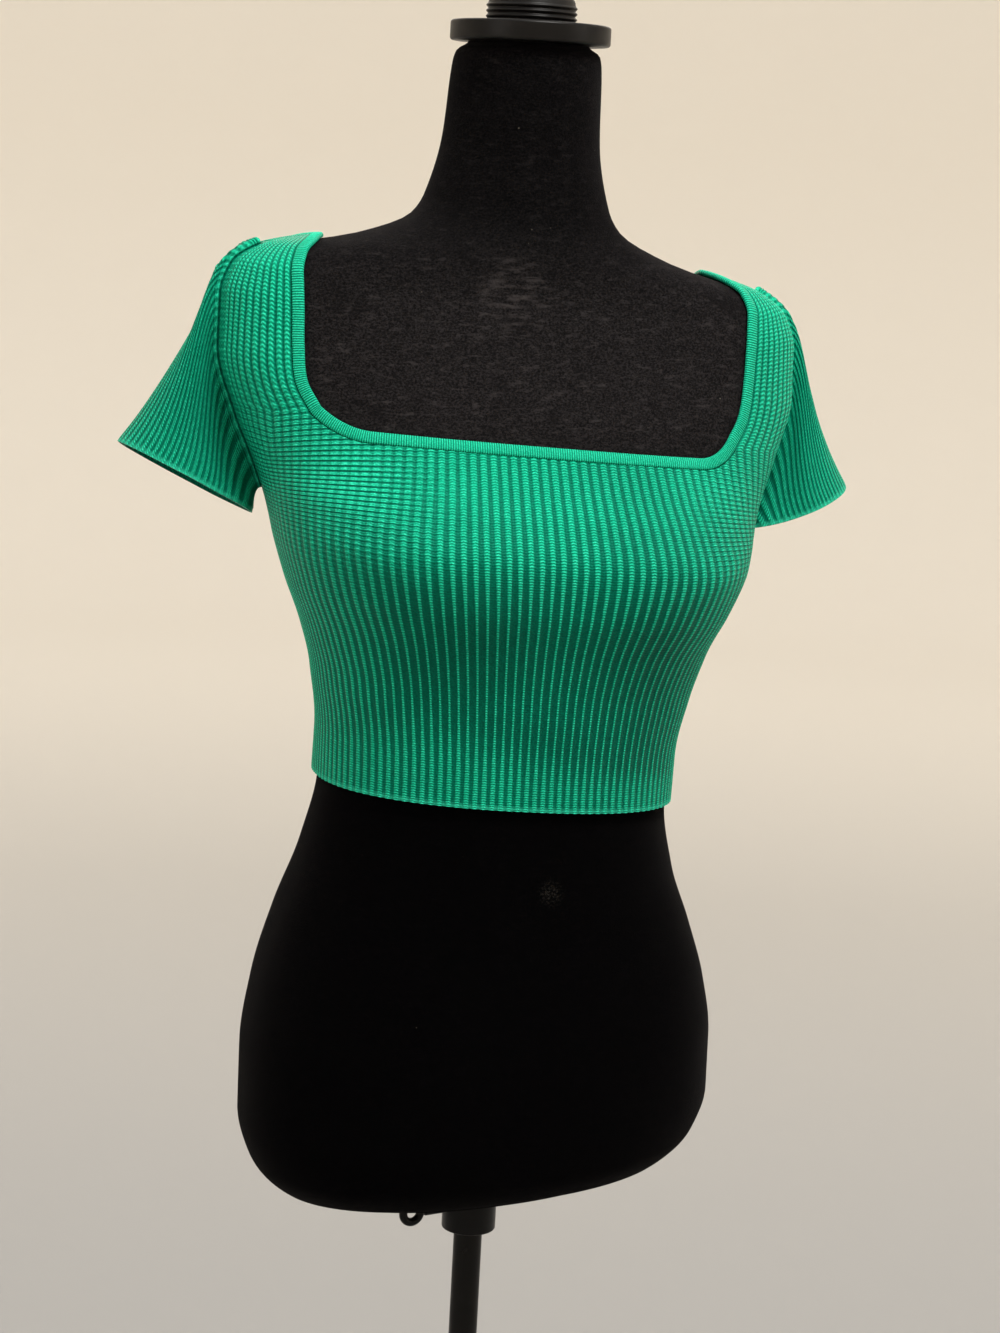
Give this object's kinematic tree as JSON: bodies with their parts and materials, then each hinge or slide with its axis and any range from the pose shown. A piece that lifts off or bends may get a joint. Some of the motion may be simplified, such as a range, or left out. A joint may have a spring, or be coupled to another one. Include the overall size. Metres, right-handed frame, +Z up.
{
  "type": "crop top on dress form",
  "caption": "Ribbed square-neck crop top with short sleeves, worn by a limbless velvet dress form on a pole and round foot.",
  "frame": {"origin": "middle of the foot's underside, on the pole's axis", "axes": "+Z up the pole, -Y to the form's front, +X to the wearer's left"},
  "size_m": [0.4938, 0.33, 1.5076],
  "materials": {
    "rib_knit": "silky rib knit",
    "velvet": "short black nap",
    "cap_plastic": "satin black",
    "black_metal": "satin black"
  },
  "bodies": {
    "root": {"top_front": "rib_knit", "top_back": "rib_knit", "sleeve_left": "rib_knit", "sleeve_right": "rib_knit", "neck_band": "rib_knit", "form_torso": "velvet", "neck_cap": "cap_plastic", "cap_nut": "cap_plastic", "pole": "black_metal", "clamp_collar": "black_metal", "clamp_screw": "black_metal", "screw_ring": "black_metal", "base_disc": "black_metal", "base_collar": "black_metal"}
  },
  "joints": []
}
